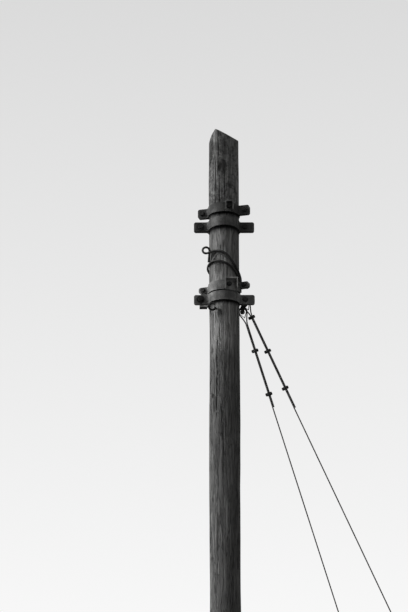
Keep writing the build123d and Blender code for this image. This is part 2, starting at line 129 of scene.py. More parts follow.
# Painted light: a stretch of the shaft's middle is lightened, as if the lamp lit it more
PAINTED_LIGHT_SETS_IN = (7.46, 7.60)
PAINTED_LIGHT_FADES = (8.20, 8.28)
PAINTED_LIGHT_FROM_LEFT = (-0.082, -0.050)
PAINTED_LIGHT_TO_RIGHT = (0.048, 0.066)
PAINTED_LIGHT_LIFT = 1.15
STRIP_TURN = 233.5
STRIP_HALF = (0.008, 0.014)
STRIP_SETS_IN = (8.52, 8.60)
GROWTH_PACE = 1600.0
WOOD_RELIEF = 0.0035

# Finishes of the steel: clean, stained and edge grey (rubbed bright, and partly a painted highlight), then
# how metallic, how rough and how shiny
STEEL_RELIEF = 0.0006
STEELS = {
    "dull_zinc": (0.099, 0.038, 0.192, 0.3, 0.6, 0.13),
    "stained_zinc": (0.064, 0.029, 0.166, 0.3, 0.6, 0.13),
    "pale_zinc": (0.173, 0.083, 0.288, 0.3, 0.6, 0.13),
    # A paler copy of the zinc: painted light that lifts the lower box bracket's shaded inside
    "painted_light_zinc": (0.352, 0.192, 0.384, 0.2, 0.7, 0.13),
    "dark_steel": (0.038, 0.014, 0.102, 0.3, 0.6, 0.13),
    "hook_steel": (0.030, 0.012, 0.100, 0.3, 0.5, 0.20),
    "sleeve_steel": (0.051, 0.019, 0.128, 0.3, 0.6, 0.13),
    "strand_steel": (0.173, 0.102, 0.192, 0.0, 0.8, 0.07),
    "wrap_steel": (0.048, 0.019, 0.096, 0.3, 0.6, 0.13),
}

# Collars' lower edges on the shaft's axis, and how steeply the tilted one drops to the back
MAIN_HEIGHT = 0.055
UPPER_TILT = 7.0
UPPER_LEAN = math.tan(math.radians(UPPER_TILT))
UPPER_SMALL_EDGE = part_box("upper_small_collar_front")[0][2]
UPPER_EDGE = POLE_HEIGHT - 0.597 - MAIN_HEIGHT / 2
LOWER_SMALL_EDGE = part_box("lower_small_collar_front")[0][2]
LOWER_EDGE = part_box("lower_main_collar_front")[0][2]
EDGE_HIDDEN = 0.004

# Stains that run below the collars' edges, and painted shade right under those edges: edge, lean, length,
# weight
COLLAR_RUNS = ((UPPER_EDGE, UPPER_LEAN, 0.22, 0.10), (LOWER_EDGE, 0.0, 0.30, 0.25))
# Painted shade: a short dark band right under each collar's edge, where the collar shades the wood
COLLAR_SHADE = (
    (UPPER_SMALL_EDGE, 0.0, 0.034, 1.7), (UPPER_EDGE, UPPER_LEAN, 0.040, 1.9),
    (LOWER_SMALL_EDGE, 0.0, 0.022, 1.2), (LOWER_EDGE, 0.0, 0.038, 1.9),
)

# Strands: radius, the length in which their wires go once round, and the outline of one wire's lobe
GUY_RADIUS = 0.0035
GUY_SWELL = 0.0003
GUY_LAY = 0.100
WRAP_RADIUS = 0.0064
WRAP_LAY = 0.120
WIRES_ROUND = 6
LOBE = (1.0, 0.97, 0.86, 0.97)
GUY_STEPS = 12
PATH_STEPS = 16
WRAP_STEPS = 28

# Guys: turn from straight back, the place they hang from, and the end of the upper tail
GUY_LEAD = 0.68
GUYS = {
    "guy_a": (32.5, (0.105, 0.074, POLE_HEIGHT - 1.0875), 0.588),
    "guy_b": (49.3, (0.121, 0.049, POLE_HEIGHT - 1.0475), 0.664),
}
LEG_GAP = 0.0004
SNUG = 0.0003
EYE_RADIUS = 0.025
EYE_DROP = 0.062
EYE_CORNERS = 3
EYE_SPARE = 1.6
THIMBLE_WALL = 0.003
THIMBLE_WIDTH = 0.011
BOLT_RADIUS = 0.008
LOW_TAIL = 0.360
ROD_LENGTH = 0.420
ROD_EYE_HOLE = 0.017
ROD_EYE_WIDTH = 0.018

# Threads on the bolts' ends: the bolt's turn, place and drop below the tip, and where the last nut ends
BOLT_ENDS = (
    (-15.0, -0.128, 0.501, 0.030), (-15.0, 0.128, 0.501, 0.030),
    (0.0, -0.137, 0.597, 0.029), (0.0, 0.121, 0.597, 0.029),
    (-22.0, -0.128, 0.974, 0.030), (-22.0, 0.128, 0.974, 0.030),
    (0.0, -0.137, 1.0475, 0.029), (0.0, 0.121, 1.0475, 0.079),
)
BOLT_PITCH = 0.002
BOLT_LAPS = 5
THREAD_STEPS = 20
THREAD_FILL = 0.55
THREAD_HEIGHT = 0.5

# Clips on the guys: how far they sit down the loop, and their two threaded legs
UPPER_CLIPS = {"guy_a": (0.240, 0.508), "guy_b": (0.084, 0.301, 0.538)}
LOWER_CLIPS = (0.110, 0.200, 0.290)
CLIP_WIRE = 0.004
CLIP_LEG = 0.0116
CLIP_NUT_TOP = 0.0249
CLIP_PITCH = 0.00125
CLIP_LAPS = 3

# Wrapped strand: its tail, its eye and its turns round the shaft, as degrees and drops below the tip
TAIL_STOPS = ((-0.090, -0.036, 0.828), (-0.088, -0.045, 0.800))
RING_CORNERS = (30, 90, 150, 210, 270)
RING_STEP = 60.0
RING_RADIUS = 0.021
RING_PLACE = (-0.1035, 0.764)
RING_FRONT_TO_REAR = (-0.054, -0.070)
WRAP_STOPS = (
    (229, 0.770), (245, 0.775), (260, 0.781), (275, 0.792), (288, 0.817), (302, 0.846), (317, 0.872),
    (338, 0.909), (364, 0.930), (390, 0.932), (418, 0.922), (446, 0.906), (474, 0.888), (502, 0.872),
    (528, 0.858), (548, 0.850), (564, 0.840), (584, 0.834), (604, 0.837), (622, 0.843), (640, 0.857),
    (658, 0.877), (676, 0.903), (698, 0.930),
)
WRAP_PLAY = 0.0024
WRAP_REST = (-0.028, 0.008)
SMALL_BOLT_X = 0.128
SMALL_TURN = -22.0
SMALL_BOLT_DROP = 0.974

# The sleeve's groove, painted with a bright highlight line: its height, half its width, its end beside the
# hook, and its grey
GROOVE_PLACE = POLE_HEIGHT - 1.124
GROOVE_HALF = 0.0042
GROOVE_END = -0.0985
GROOVE_HIGHLIGHT_GREY = 0.42

# The photograph's camera: 408 x 612, and a focal length in its pixels
IMAGE_HEIGHT = 612
FOCAL_PIXELS = 3020.0
CAMERA_PLACE = (-0.1174, -16.267, 1.670)
CAMERA_PITCH = 20.7
CAMERA_ROLL = -0.11
SENSOR_HEIGHT = 24.0
VIEW_REACH = 200.0

# Light: a soft surround, a backdrop that pales downwards, a broad lamp from the left, and the floor
SURROUND_GREY = 0.9
SURROUND_STRENGTH = 0.34
BACKDROP_RISE = (0.25, 0.46)
BACKDROP_PALENESS = (0.94, 0.69)
LAMP_PLACE = (-6.0, -3.0, 12.0)
LAMP_STRENGTH = 4.8
LAMP_WIDTH = 45.0
LAMP_FROM = (-1.0, 0.0, 0.55)
FLOOR_WIDTH = 600.0
FLOOR_PLACE = (2.0, 2.0, 0.0)
FLOOR_THROWS = 0.16
FLOOR_LOOKS = 0.80
FLOOR_GLOW = 0.12


# Small helpers for pieces

def clear_selection():
    if bpy.context.object and bpy.context.object.mode != "OBJECT":
        bpy.ops.object.mode_set(mode="OBJECT")
    bpy.ops.object.select_all(action="DESELECT")


def activate(piece):
    clear_selection()
    piece.select_set(True)
    bpy.context.view_layer.objects.active = piece


def apply_modifiers(piece):
    activate(piece)
    for modifier in list(piece.modifiers):
        bpy.ops.object.modifier_apply(modifier=modifier.name)


# Camera, light and floor

def place_camera():
    bpy.ops.object.camera_add(location=CAMERA_PLACE)
    camera = bpy.context.object
    camera.name = "camera"
    camera.data.sensor_fit = "VERTICAL"
    camera.data.sensor_height = SENSOR_HEIGHT
    camera.data.lens = FOCAL_PIXELS * SENSOR_HEIGHT / IMAGE_HEIGHT
    camera.data.clip_end = VIEW_REACH
    tip = Matrix.Rotation(math.radians(90.0 + CAMERA_PITCH), 4, "X")
    roll = Matrix.Rotation(math.radians(CAMERA_ROLL), 4, "Z")
    camera.matrix_world = Matrix.Translation(CAMERA_PLACE) @ tip @ roll
    bpy.context.scene.camera = camera
    bpy.context.scene.view_settings.view_transform = "Standard"


def light_the_yard():
    """Soft light from all round, a broad lamp, and a backdrop that only the camera and gloss see."""
    world = bpy.data.worlds.new("pale_surround")
    bpy.context.scene.world = world
    world.use_nodes = True
    tree = world.node_tree
    tree.nodes.clear()
    soft = tree.nodes.new("ShaderNodeBackground")
    soft.inputs["Color"].default_value = (SURROUND_GREY, SURROUND_GREY, SURROUND_GREY, 1.0)
    soft.inputs["Strength"].default_value = SURROUND_STRENGTH
    upward = split_place(tree, tree.nodes.new("ShaderNodeTexCoord").outputs["Generated"])["Z"]
    paleness = ranged(tree, upward, *BACKDROP_RISE, *BACKDROP_PALENESS)
    tone = tree.nodes.new("ShaderNodeCombineColor")
    for channel in ("Red", "Green", "Blue"):
        tree.links.new(paleness, tone.inputs[channel])
    pale = tree.nodes.new("ShaderNodeBackground")
    tree.links.new(tone.outputs["Color"], pale.inputs["Color"])
    rays = tree.nodes.new("ShaderNodeLightPath").outputs
    seen = worked(tree, "MAXIMUM", rays["Is Camera Ray"], rays["Is Glossy Ray"])
    mix = tree.nodes.new("ShaderNodeMixShader")
    tree.links.new(worked(tree, "MAXIMUM", seen, rays["Is Transmission Ray"]), mix.inputs["Fac"])
    tree.links.new(soft.outputs["Background"], mix.inputs[1])
    tree.links.new(pale.outputs["Background"], mix.inputs[2])
    output = tree.nodes.new("ShaderNodeOutputWorld")
    tree.links.new(mix.outputs["Shader"], output.inputs["Surface"])

    clear_selection()
    bpy.ops.object.light_add(type="SUN", location=LAMP_PLACE)
    lamp = bpy.context.object
    lamp.name = "key_light"
    lamp.data.energy = LAMP_STRENGTH
    lamp.data.angle = math.radians(LAMP_WIDTH)
    lamp.rotation_euler = Vector(LAMP_FROM).to_track_quat("Z", "Y").to_euler()


def lay_floor():
    """A pale floor that runs out of sight. It looks paler than the light that it throws back."""
    clear_selection()
    bpy.ops.mesh.primitive_plane_add(size=FLOOR_WIDTH, location=FLOOR_PLACE)
    floor = bpy.context.object
    floor.name = "floor"
    material, shader, links = new_material("pale_floor")
    tree = material.node_tree
    seen = tree.nodes.new("ShaderNodeLightPath").outputs["Is Camera Ray"]
    colour = mixed_colour(material, grey(FLOOR_THROWS), grey(FLOOR_LOOKS), seen)
    links.new(colour, shader.inputs["Base Color"])
    shader.inputs["Emission Color"].default_value = (1.0, 1.0, 1.0, 1.0)
    links.new(worked(tree, "MULTIPLY", seen, FLOOR_GLOW), shader.inputs["Emission Strength"])
    shader.inputs["Roughness"].default_value = 0.9
    shader.inputs["Specular IOR Level"].default_value = 0.0
    floor.data.materials.append(material)


# Small helpers for materials

def grey(value):
    return (value, value, value * BLUE_SHARE, 1.0)


def new_material(name):
    material = bpy.data.materials.new(name)
    material.use_nodes = True
    return material, material.node_tree.nodes["Principled BSDF"], material.node_tree.links


def feed(links, socket, source):
    """Links a socket to a source, or sets it where the source is a plain value."""
    if isinstance(source, (int, float, tuple)):
        socket.default_value = source
    else:
        links.new(source, socket)


def mixed_colour(material, first, second, factor):
    mix = material.node_tree.nodes.new("ShaderNodeMix")
    mix.data_type = "RGBA"
    links = material.node_tree.links
    feed(links, mix.inputs[0], factor)
    feed(links, mix.inputs[6], first)
    feed(links, mix.inputs[7], second)
    return mix.outputs[2]


def tinted(material, colour, tone, mask):
    """Lays one of the wood's greys over a colour, as strongly as a mask says."""
    return mixed_colour(material, colour, grey(WOOD_GREYS[tone]), mask)


def worked(tree, operation, *values):
    """The outcome of one Math node."""
    node = tree.nodes.new("ShaderNodeMath")
    node.operation = operation
    for socket, value in zip(node.inputs, values):
        feed(tree.links, socket, value)
    return node.outputs["Value"]


def worked_vector(tree, result, operation, *values):
    """One result of one Vector Math node, its Vector or its Value."""
    node = tree.nodes.new("ShaderNodeVectorMath")
    node.operation = operation
    for socket, value in zip(node.inputs, values):
        feed(tree.links, socket, value)
    return node.outputs[result]


def ranged(tree, source, low, high, least=0.0, most=1.0, smooth=False):
    """Maps a value from low..high to least..most, held at both ends."""
    node = tree.nodes.new("ShaderNodeMapRange")
    if smooth:
        node.interpolation_type = "SMOOTHSTEP"
    for name, value in (("Value", source), ("From Min", low), ("From Max", high),
                        ("To Min", least), ("To Max", most)):
        feed(tree.links, node.inputs[name], value)
    return node.outputs["Result"]


def bumped(material, height, distance):
    node = material.node_tree.nodes.new("ShaderNodeBump")
    node.inputs["Distance"].default_value = distance
    material.node_tree.links.new(height, node.inputs["Height"])
    return node.outputs["Normal"]


def use_group(material, group, **values):
    node = material.node_tree.nodes.new("ShaderNodeGroup")
    node.node_tree = group
    for name, value in values.items():
        node.inputs[name.replace("_", " ")].default_value = value
    return node.outputs


def new_group(name, inputs, outputs):
    """An empty shader group with named number or vector inputs, number outputs and a place to read."""
    group = bpy.data.node_groups.new(name, "ShaderNodeTree")
    for label, default in inputs:
        kind = "NodeSocketVector" if isinstance(default, tuple) else "NodeSocketFloat"
        socket = group.interface.new_socket(name=label, in_out="INPUT", socket_type=kind)
        socket.default_value = default
    for label in outputs:
        group.interface.new_socket(name=label, in_out="OUTPUT", socket_type="NodeSocketFloat")
    entry = group.nodes.new("NodeGroupInput")
    leave = group.nodes.new("NodeGroupOutput")
    place = group.nodes.new("ShaderNodeTexCoord").outputs["Object"]
    return group, entry.outputs, leave.inputs, place


def noise(tree, place, scale, detail=5.0, rough=0.6):
    node = tree.nodes.new("ShaderNodeTexNoise")
    node.inputs["Detail"].default_value = detail
    node.inputs["Roughness"].default_value = rough
    tree.links.new(place, node.inputs["Vector"])
    feed(tree.links, node.inputs["Scale"], scale)
    return node.outputs["Fac"]


def split_place(tree, place):
    node = tree.nodes.new("ShaderNodeSeparateXYZ")
    tree.links.new(place, node.inputs["Vector"])
    return node.outputs


# Shader groups

def make_grain_group():
    """Long upright streaks, and thin dark lines where two streaks meet."""
    group, given, result, place = new_group(
        "long_grain", (("Fineness", 60.0), ("Stretch", 0.03), ("Line Width", 0.02)), ("Streaks", "Lines"))
    size = group.nodes.new("ShaderNodeCombineXYZ")
    size.inputs["X"].default_value = 1.0
    size.inputs["Y"].default_value = 1.0
    group.links.new(given["Stretch"], size.inputs["Z"])
    squeezed = worked_vector(group, "Vector", "MULTIPLY", place, size.outputs["Vector"])
    streaks = noise(group, squeezed, given["Fineness"])
    away = worked(group, "ABSOLUTE", worked(group, "SUBTRACT", streaks, 0.5))
    group.links.new(streaks, result["Streaks"])
    group.links.new(ranged(group, away, 0.0, given["Line Width"], 1.0, 0.0, True), result["Lines"])
    return group


def make_weather_group():
    """Blotches of two sizes for stains and dirt."""
    group, given, result, place = new_group(
        "weathering", (("Blotch", 6.0), ("Speck", 90.0)), ("Stain", "Dirt"))
    for size, output, low, high in (("Blotch", "Stain", 0.38, 0.66), ("Speck", "Dirt", 0.45, 0.75)):
        cloud = noise(group, place, given[size], 6.0, 0.65)
        group.links.new(ranged(group, cloud, low, high), result[output])
    return group


def make_edge_group():
    """Edges rubbed bright, on the steel also a painted highlight: where the rounded normal leaves the face's
    own.
    """
    group, given, result, place = new_group("worn_and_highlighted_edges", (("Reach", 0.002), ("Patchiness", 60.0)), ("Edge",))
    rounded = group.nodes.new("ShaderNodeBevel")
    rounded.samples = 6
    group.links.new(given["Reach"], rounded.inputs["Radius"])
    facing = group.nodes.new("ShaderNodeNewGeometry").outputs["Normal"]
    likeness = worked_vector(group, "Value", "DOT_PRODUCT", rounded.outputs["Normal"], facing)
    edge = ranged(group, likeness, 0.80, 0.99, 1.0, 0.0)
    patch = ranged(group, noise(group, place, given["Patchiness"]), 0.38, 0.60)
    group.links.new(worked(group, "MULTIPLY", edge, patch), result["Edge"])
    return group


def make_run_group():
    """A mask that runs down from an edge and fades out, used for stains and for painted shade. The edge may
    lean from front to back.
    """
    group, given, result, place = new_group(
        "run_down", (("Top", 8.0), ("Lean", 0.0), ("Length", 0.3)), ("Run",))
    at = split_place(group, place)
    height = worked(group, "MULTIPLY_ADD", at["Y"], given["Lean"], at["Z"])
    end = worked(group, "SUBTRACT", given["Top"], given["Length"])
    fade = ranged(group, height, end, given["Top"])
    past = worked(group, "LESS_THAN", height, worked(group, "ADD", given["Top"], EDGE_HIDDEN))
    group.links.new(worked(group, "MULTIPLY", worked(group, "POWER", fade, 1.7), past), result["Run"])
    return group


def make_knot_group():
    """Knot: a dark heart with a paler rim, both taller than they are wide."""
    group, given, result, place = new_group(
        "knot", (("Centre", (0.0, 0.0, 0.0)), ("Size", 0.015)), ("Heart", "Rim"))
    away = worked_vector(group, "Vector", "SUBTRACT", place, given["Centre"])
    away = worked_vector(group, "Vector", "MULTIPLY", away, (1.0, 1.0, KNOT_SQUASH))
    ragged = ranged(group, noise(group, place, 120.0), 0.3, 0.7, -0.25, 0.25)
    far = worked(group, "DIVIDE", worked_vector(group, "Value", "LENGTH", away), given["Size"])
    far = worked(group, "ADD", far, ragged)
    group.links.new(ranged(group, far, 0.5, 1.0, 1.0, 0.0, True), result["Heart"])
    rim = worked(group, "MULTIPLY", ranged(group, far, 0.9, 1.2, 0.0, 1.0, True),
                 ranged(group, far, 1.3, 2.2, 1.0, 0.0, True))
    group.links.new(rim, result["Rim"])
    return group


# Materials of the wood and the steel

def knot_place(angle, z):
    around = math.radians(angle)
    return (pole_radius(z) * math.cos(around), pole_radius(z) * math.sin(around), z)


def bare_fibres(material, broad, fine, hair, stains):
    """Silvered fibres, darker between them and along their cracks."""
    tree = material.node_tree
    colour = mixed_colour(material, grey(WOOD_GREYS["fibre"]), grey(WOOD_GREYS["silver"]),
                          ranged(tree, broad["Streaks"], 0.34, 0.66))
    for tone, mask, limits in (
            ("hollow", fine["Streaks"], (0.37, 0.50, 0.72, 0.0)),
            ("bleached", fine["Streaks"], (0.53, 0.68, 0.0, 0.50)),
            ("hairline", hair["Streaks"], (0.38, 0.52, 0.45, 0.0)),
            ("stained", stains["Stain"], (0.0, 1.0, 0.0, 0.35)),
            ("crack", fine["Lines"], (0.0, 1.0, 0.0, 0.35)),
            ("deep_crack", broad["Lines"], (0.0, 1.0, 0.0, 0.45))):
        colour = tinted(material, colour, tone, ranged(tree, mask, *limits))
    return colour


def painted_shade_side(material, colour, at, top, broad):
    """Darkens the right side, away from the lamp, as painted shade, and hardly so at the top."""
    tree = material.node_tree
    side_shade = worked(tree, "ADD", ranged(tree, at["X"], *SIDE_SHADE_SETS_IN, 0.0, 0.30, True),
                  ranged(tree, broad["Streaks"], 0.35, 0.65, -0.10, 0.10))
    side_shade = worked(tree, "MULTIPLY", worked(tree, "MAXIMUM", side_shade, 0.0),
                  ranged(tree, top, 0.0, 1.0, 1.0, 0.10))
    return tinted(material, colour, "side_shade", side_shade)


def painted_light_stretch(material, colour, at):
    """Paints light on the wood from under the upper level to below the hook, most of all in the middle."""
    tree = material.node_tree
    stretch = worked(tree, "MULTIPLY", ranged(tree, at["Z"], *PAINTED_LIGHT_SETS_IN, 0.0, 1.0, True),
                     ranged(tree, at["Z"], *PAINTED_LIGHT_FADES, 1.0, 0.0, True))
    middle = worked(tree, "MULTIPLY", ranged(tree, at["X"], *PAINTED_LIGHT_FROM_LEFT, 0.0, 1.0, True),
                    ranged(tree, at["X"], *PAINTED_LIGHT_TO_RIGHT, 1.0, 0.45, True))
    lift = worked(tree, "MULTIPLY_ADD", worked(tree, "MULTIPLY", stretch, middle), PAINTED_LIGHT_LIFT, 1.0)
    lighter = tree.nodes.new("ShaderNodeHueSaturation")
    tree.links.new(colour, lighter.inputs["Color"])
    tree.links.new(lift, lighter.inputs["Value"])
    return lighter.outputs["Color"]


def blotched_top(material, groups, colour, place, at, top, stains):
    """Blotches the top, darkest near the tip, and leaves one pale strip on its left front."""
    tree = material.node_tree
    blots = use_group(material, groups["grain"], Fineness=30.0, Stretch=0.75, Line_Width=0.02)
    flecks = use_group(material, groups["weather"], Blotch=24.0, Speck=52.0)
    for tone, mask, limits in (
            ("lifted", at["X"], (-0.035, 0.025, 0.0, 0.80, True)),
            ("blot", blots["Streaks"], (0.42, 0.54, 0.65, 0.0)),
            ("crumb", stains["Dirt"], (0.0, 1.0, 0.0, 0.75)),
            ("fleck", flecks["Dirt"], (0.0, 0.7, 0.0, 0.65))):
        colour = tinted(material, colour, tone, worked(tree, "MULTIPLY", top, ranged(tree, mask, *limits)))
    colour = tinted(material, colour, "tip", ranged(tree, at["Z"], *TIP_SETS_IN, 0.0, 0.30, True))
    turned = tree.nodes.new("ShaderNodeMapping")
    turned.inputs["Rotation"].default_value = (0.0, 0.0, math.radians(-STRIP_TURN))
    tree.links.new(place, turned.inputs["Vector"])
    along = split_place(tree, turned.outputs["Vector"])
    strip = worked(tree, "MULTIPLY",
                   ranged(tree, worked(tree, "ABSOLUTE", along["Y"]), *STRIP_HALF, 1.0, 0.0, True),
                   worked(tree, "GREATER_THAN", along["X"], 0.0))
    strip = worked(tree, "MULTIPLY", strip, ranged(tree, at["Z"], *STRIP_SETS_IN, 0.0, 0.70, True))
    return tinted(material, colour, "strip", strip)


def collar_marks(material, groups, colour, fine):
    """Long stains that run below the collars, streaked by the grain, and painted shade right under their
    edges.
    """
    tree = material.node_tree
    streaky = ranged(tree, fine["Streaks"], 0.40, 0.58, 1.0, 0.25)
    for edge, lean, length, weight in COLLAR_RUNS:
        run = use_group(material, groups["run"], Top=edge, Lean=lean, Length=length)["Run"]
        run = worked(tree, "MULTIPLY", worked(tree, "MULTIPLY", run, streaky), weight)
        colour = tinted(material, colour, "run", run)
    # Painted shade right under each collar's edge
    for edge, lean, length, weight in COLLAR_SHADE:
        run = use_group(material, groups["run"], Top=edge, Lean=lean, Length=length)["Run"]
        colour = tinted(material, colour, "grime", worked(tree, "MULTIPLY", run, weight))
    return colour


def smudges_shade_and_knots(material, groups, colour):
    tree = material.node_tree
    # Dark smudges, and painted shade under the wrapped strand
    for angle, z, size, weight in SMUDGES_AND_SHADE:
        smudge_and_shade = use_group(material, groups["knot"], Centre=knot_place(angle, z), Size=size)["Heart"]
        colour = tinted(material, colour, "smudge_and_shade", worked(tree, "MULTIPLY", smudge_and_shade, weight))
    for angle, z, size in KNOTS:
        knot = use_group(material, groups["knot"], Centre=knot_place(angle, z), Size=size)
        colour = tinted(material, colour, "knot_heart", worked(tree, "MULTIPLY", knot["Heart"], 0.75))
        colour = tinted(material, colour, "knot_rim", worked(tree, "MULTIPLY", knot["Rim"], 0.20))
    return colour


def roof_faces(material, groups, colour, place, at, stains):
    """Rubs the roof's corners pale, and draws end grain on its two faces: rings round the heart."""
    tree = material.node_tree
    edge_mask = use_group(material, groups["edge_mask"], Reach=0.0045, Patchiness=70.0)["Edge"]
    near_tip = ranged(tree, at["Z"], *CORNERS_SET_IN, 0.0, 0.75)
    colour = tinted(material, colour, "worn_corner", worked(tree, "MULTIPLY", edge_mask, near_tip))

    flat = worked_vector(tree, "Vector", "MULTIPLY", place, (1.0, 1.0, 0.0))
    wander = ranged(tree, noise(tree, place, 18.0), 0.3, 0.7, -0.004, 0.004)
    out = worked(tree, "ADD", worked_vector(tree, "Value", "LENGTH", flat), wander)
    ring = worked(tree, "SINE", worked(tree, "MULTIPLY", out, GROWTH_PACE))
    end_grain = mixed_colour(material, grey(WOOD_GREYS["end_dark"]), grey(WOOD_GREYS["end_pale"]),
                             ranged(tree, ring, -1.0, 1.0))
    end_grain = tinted(material, end_grain, "end_stain", ranged(tree, stains["Stain"], 0.0, 1.0, 0.1, 0.6))
    facing = tree.nodes.new("ShaderNodeNewGeometry").outputs["Normal"]
    upward = ranged(tree, split_place(tree, facing)["Z"], 0.45, 0.6)
    return mixed_colour(material, colour, end_grain, upward)


def wood_material(groups):
    material, shader, links = new_material("weathered_wood")
    tree = material.node_tree
    broad = use_group(material, groups["grain"], Fineness=20.0, Stretch=0.05, Line_Width=0.010)
    fine = use_group(material, groups["grain"], Fineness=105.0, Stretch=0.05, Line_Width=0.026)
    hair = use_group(material, groups["grain"], Fineness=260.0, Stretch=0.03, Line_Width=0.05)
    stains = use_group(material, groups["weather"], Blotch=5.0, Speck=70.0)
    place = tree.nodes.new("ShaderNodeTexCoord").outputs["Object"]
    at = split_place(tree, place)
    top = ranged(tree, at["Z"], *TOP_SETS_IN, 0.0, 1.0, True)

    colour = bare_fibres(material, broad, fine, hair, stains)
    colour = painted_shade_side(material, colour, at, top, broad)
    colour = painted_light_stretch(material, colour, at)
    colour = blotched_top(material, groups, colour, place, at, top, stains)
    colour = collar_marks(material, groups, colour, fine)
    colour = smudges_shade_and_knots(material, groups, colour)
    colour = roof_faces(material, groups, colour, place, at, stains)
    links.new(colour, shader.inputs["Base Color"])

    height = worked(tree, "MULTIPLY_ADD", fine["Lines"], -1.2, fine["Streaks"])
    height = worked(tree, "MULTIPLY_ADD", broad["Lines"], -2.0, height)
    height = worked(tree, "MULTIPLY_ADD", hair["Streaks"], 0.35, height)
    links.new(bumped(material, height, WOOD_RELIEF), shader.inputs["Normal"])
    links.new(ranged(tree, fine["Streaks"], 0.3, 0.7, 0.95, 0.78), shader.inputs["Roughness"])
    shader.inputs["Specular IOR Level"].default_value = 0.05
    return material


def steel_material(name, groups, clean, dark, worn_and_highlighted_edge, metallic, rough, shiny):
    """Steel with stains, drips and specks, its edges lighter: rubbed bright, and partly a painted highlight.
    """
    material, shader, links = new_material(name)
    tree = material.node_tree
    stains = use_group(material, groups["weather"], Blotch=16.0, Speck=170.0)
    drips = use_group(material, groups["grain"], Fineness=45.0, Stretch=0.12, Line_Width=0.02)
    edge_mask = use_group(material, groups["edge_mask"], Reach=0.0022, Patchiness=45.0)["Edge"]
    colour = grey(clean)
    # The last tone lightens the edges: wear, and a painted highlight where the edges catch the light
    for tone, mask in (
            (dark, ranged(tree, stains["Stain"], 0.0, 1.0, 0.0, 0.8)),
            (dark * 0.5, ranged(tree, drips["Streaks"], 0.34, 0.50, 0.55, 0.0)),
            (dark * 0.4, ranged(tree, stains["Dirt"], 0.0, 1.0, 0.0, 0.6)),
            (worn_and_highlighted_edge, worked(tree, "MULTIPLY", edge_mask, 0.8))):
        colour = mixed_colour(material, colour, grey(tone), mask)
    links.new(colour, shader.inputs["Base Color"])
    shader.inputs["Metallic"].default_value = metallic
    shader.inputs["Specular IOR Level"].default_value = shiny
    links.new(ranged(tree, stains["Stain"], 0.0, 1.0, rough, rough + 0.2), shader.inputs["Roughness"])
    links.new(bumped(material, stains["Dirt"], STEEL_RELIEF), shader.inputs["Normal"])
    return material


def paint_groove_highlight(material):
    """Paints a bright highlight line along the sleeve's groove."""
    tree = material.node_tree
    colour = tree.nodes["Principled BSDF"].inputs["Base Color"]
    at = split_place(tree, tree.nodes.new("ShaderNodeTexCoord").outputs["Object"])
    off = worked(tree, "ABSOLUTE", worked(tree, "SUBTRACT", at["Z"], GROOVE_PLACE))
    groove = ranged(tree, off, GROOVE_HALF * 0.7, GROOVE_HALF, 0.9, 0.0)
    groove = worked(tree, "MULTIPLY", groove, worked(tree, "LESS_THAN", at["X"], GROOVE_END))
    highlighted_groove = mixed_colour(material, colour.links[0].from_socket, grey(GROOVE_HIGHLIGHT_GREY), groove)
    tree.links.new(highlighted_groove, colour)


def look_of(name):
    """The finish that a piece of hardware has."""
    # The lower box bracket takes the paler zinc, painted light on its shaded inside
    if name == "lower_box_bracket":
        return "painted_light_zinc"
    if name in ("upper_box_bracket", "guard_strip"):
        return "pale_zinc"
    if name == "pigtail_hook":
        return "hook_steel"
    if name == "hook_sleeve":
        return "sleeve_steel"
    if name == "wrap_strand":
        return "wrap_steel"
    if name.endswith("strand"):
        return "strand_steel"
    if "thimble" in name:
        return "dull_zinc"
    if name.startswith("upper_small_collar_") and "bolt" not in name:
        return "stained_zinc"
    if "collar_" in name and "bolt" not in name:
        return "dull_zinc" if name.startswith("upper") else "pale_zinc"
    return "dark_steel"


# Every new piece's last step

def finish_piece(piece, name, material, slot, *nodes):
    piece.name = name
    piece.data.name = name
    activate(piece)
    bpy.ops.object.transform_apply(location=True, rotation=True, scale=True)
    piece.data.materials.clear()
    piece.data.materials.append(material)
    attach(piece, "root")
    if nodes:
        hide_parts(*nodes)


# Shaft: its taper and roof, then splits, knots and swells

def pole_radius(z):
    return BASE_RADIUS - (BASE_RADIUS - TOP_RADIUS) * z / POLE_HEIGHT


def shaft_levels():
    """Heights of the shaft's rings: coarse near the ground, fine above, and finest at the knots."""
    coarse = [COARSE_STEP * i for i in range(1, round(FINE_FROM / COARSE_STEP))]
    fine = [FINE_FROM + FINE_STEP * i for i in range(int((POLE_HEIGHT - FINE_FROM) / FINE_STEP))]
    knots = [z + size * step for _, z, size in KNOTS for step in KNOT_RINGS]
    levels = []
    for z in sorted(coarse + fine + knots):
        if not levels or z - levels[-1] > LEVEL_GAP:
            levels.append(z)
    return levels + [POLE_HEIGHT]


